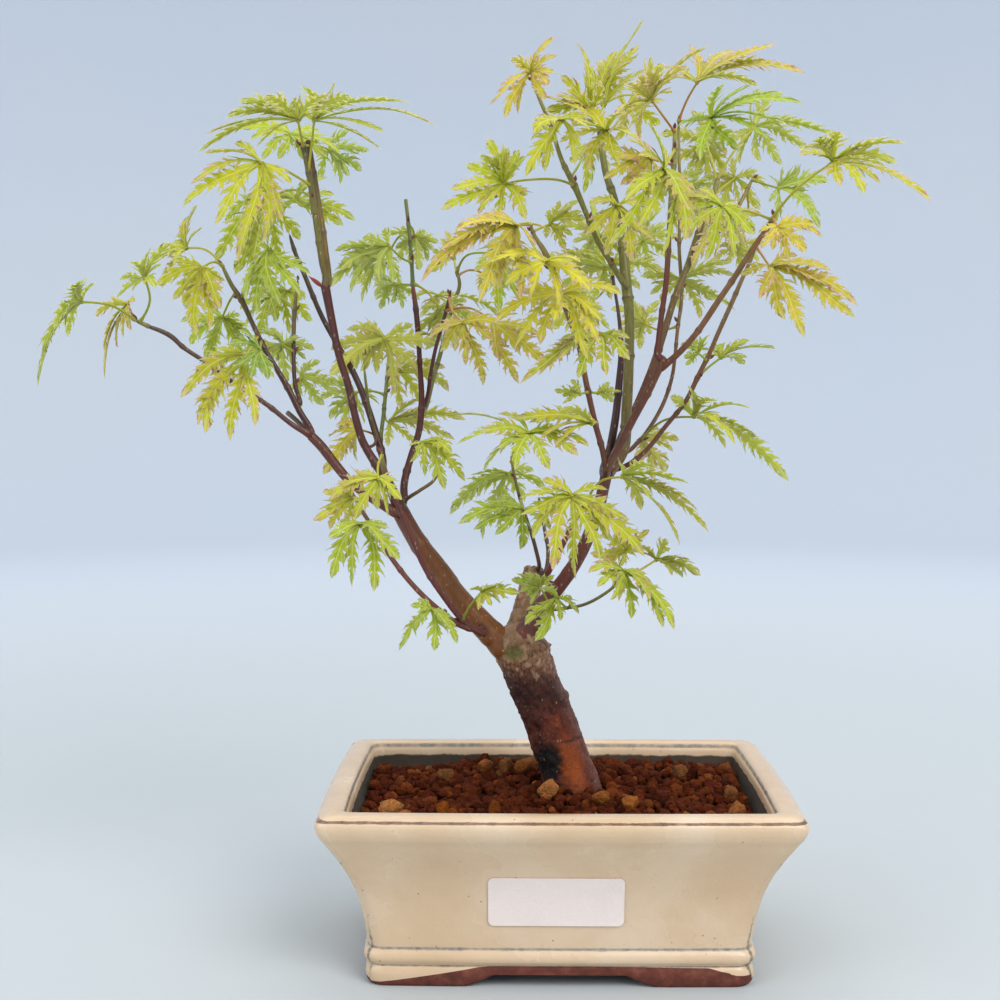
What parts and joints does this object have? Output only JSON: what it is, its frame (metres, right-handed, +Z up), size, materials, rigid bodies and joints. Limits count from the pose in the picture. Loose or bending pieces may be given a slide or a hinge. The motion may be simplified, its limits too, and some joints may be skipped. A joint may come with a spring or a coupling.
{
  "type": "potted bonsai maple",
  "caption": "Small leaning maple tree with finely cut leaves, growing in a shallow rectangular glazed pot with a granule top layer and a blank label.",
  "frame": {"origin": "on the floor under the feet, below the middle of the whole plant's overall box", "axes": "+Z up, -Y out of the pot's long front face that carries the label, +X to the right seen from the front, along the pot's length"},
  "size_m": [0.3132, 0.1481, 0.3769],
  "materials": {
    "glaze": "cream glaze over brown clay, thin brown wear along the edges, bare brown clay foot",
    "label": "white coated paper, bare",
    "mesh": "dark plastic drainage mesh",
    "soil": "dark moist soil",
    "granules": "rough red-brown baked clay granules",
    "bark": "grey-brown flaking bark over red-brown wood",
    "twig_bark": "smooth dark red-brown young bark with pale dots",
    "green_bark": "smooth olive young bark",
    "leaf": "thin lime-green living leaf, tinged orange at some edges"
  },
  "bodies": {
    "root": {"pot": "glaze", "pot_label": "label", "drainage_mesh_left": "mesh", "drainage_mesh_right": "mesh", "soil": "soil", "granule_layer": "granules", "trunk": "bark", "left_branch": "twig_bark", "right_branch": "twig_bark", "left_leader": "twig_bark", "left_second_twig": "twig_bark", "left_fork": "twig_bark", "left_reach": "twig_bark", "left_rise": "twig_bark", "left_upright": "twig_bark", "right_front_twig": "twig_bark", "right_front_twig_up": "twig_bark", "right_front_twig_out": "twig_bark", "right_green_stem": "green_bark", "right_back_twig": "twig_bark", "right_dark_stem": "twig_bark", "centre_cut_twig": "twig_bark", "left_reach_leaves": "leaf", "left_rise_leaves": "leaf", "left_rise_side": "leaf", "left_leader_leaves": "leaf", "left_inner": "leaf", "left_upright_leaves": "leaf", "left_side": "leaf", "left_right": "leaf", "left_front": "leaf", "left_low": "leaf", "right_short": "leaf", "centre": "leaf", "right_low": "leaf", "right_left": "leaf", "right_inner": "leaf", "right_green_leaves": "leaf", "right_up_leaves": "leaf", "right_arc": "leaf", "right_back_leaves": "leaf", "right_out_leaves": "leaf", "right_far": "leaf", "right_outer": "leaf", "right_dark_leaves": "leaf"}
  },
  "joints": []
}
